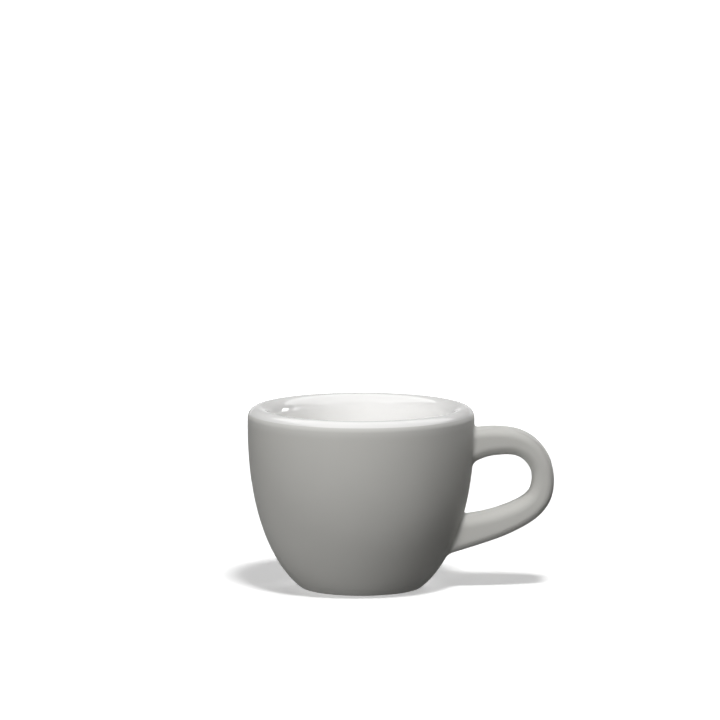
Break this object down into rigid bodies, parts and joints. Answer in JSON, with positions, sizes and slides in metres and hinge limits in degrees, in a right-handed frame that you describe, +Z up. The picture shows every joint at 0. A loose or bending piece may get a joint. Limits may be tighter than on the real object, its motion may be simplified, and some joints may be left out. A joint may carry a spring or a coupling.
{
  "type": "espresso cup",
  "caption": "Thick-walled ceramic espresso cup with a rounded rim, a flat-sided loop handle and a bare foot ring, glazed white inside and grey outside.",
  "frame": {"origin": "on the cup's axis, in the plane of the foot ring that it stands on", "axes": "+Z up along the cup's axis, +X towards the middle of the handle"},
  "size_m": [0.0875, 0.0648, 0.0518],
  "materials": {
    "clay": "bare fired clay",
    "slip": "fired slip, sealed under the glaze",
    "white_glaze": "gloss",
    "grey_glaze": "satin gloss"
  },
  "bodies": {
    "root": {"cup_body": "clay", "handle": "clay", "upper_slip_joint": "slip", "lower_slip_joint": "slip", "liner_glaze": "white_glaze", "outer_glaze": "grey_glaze", "foot_well_glaze": "grey_glaze"}
  },
  "joints": []
}
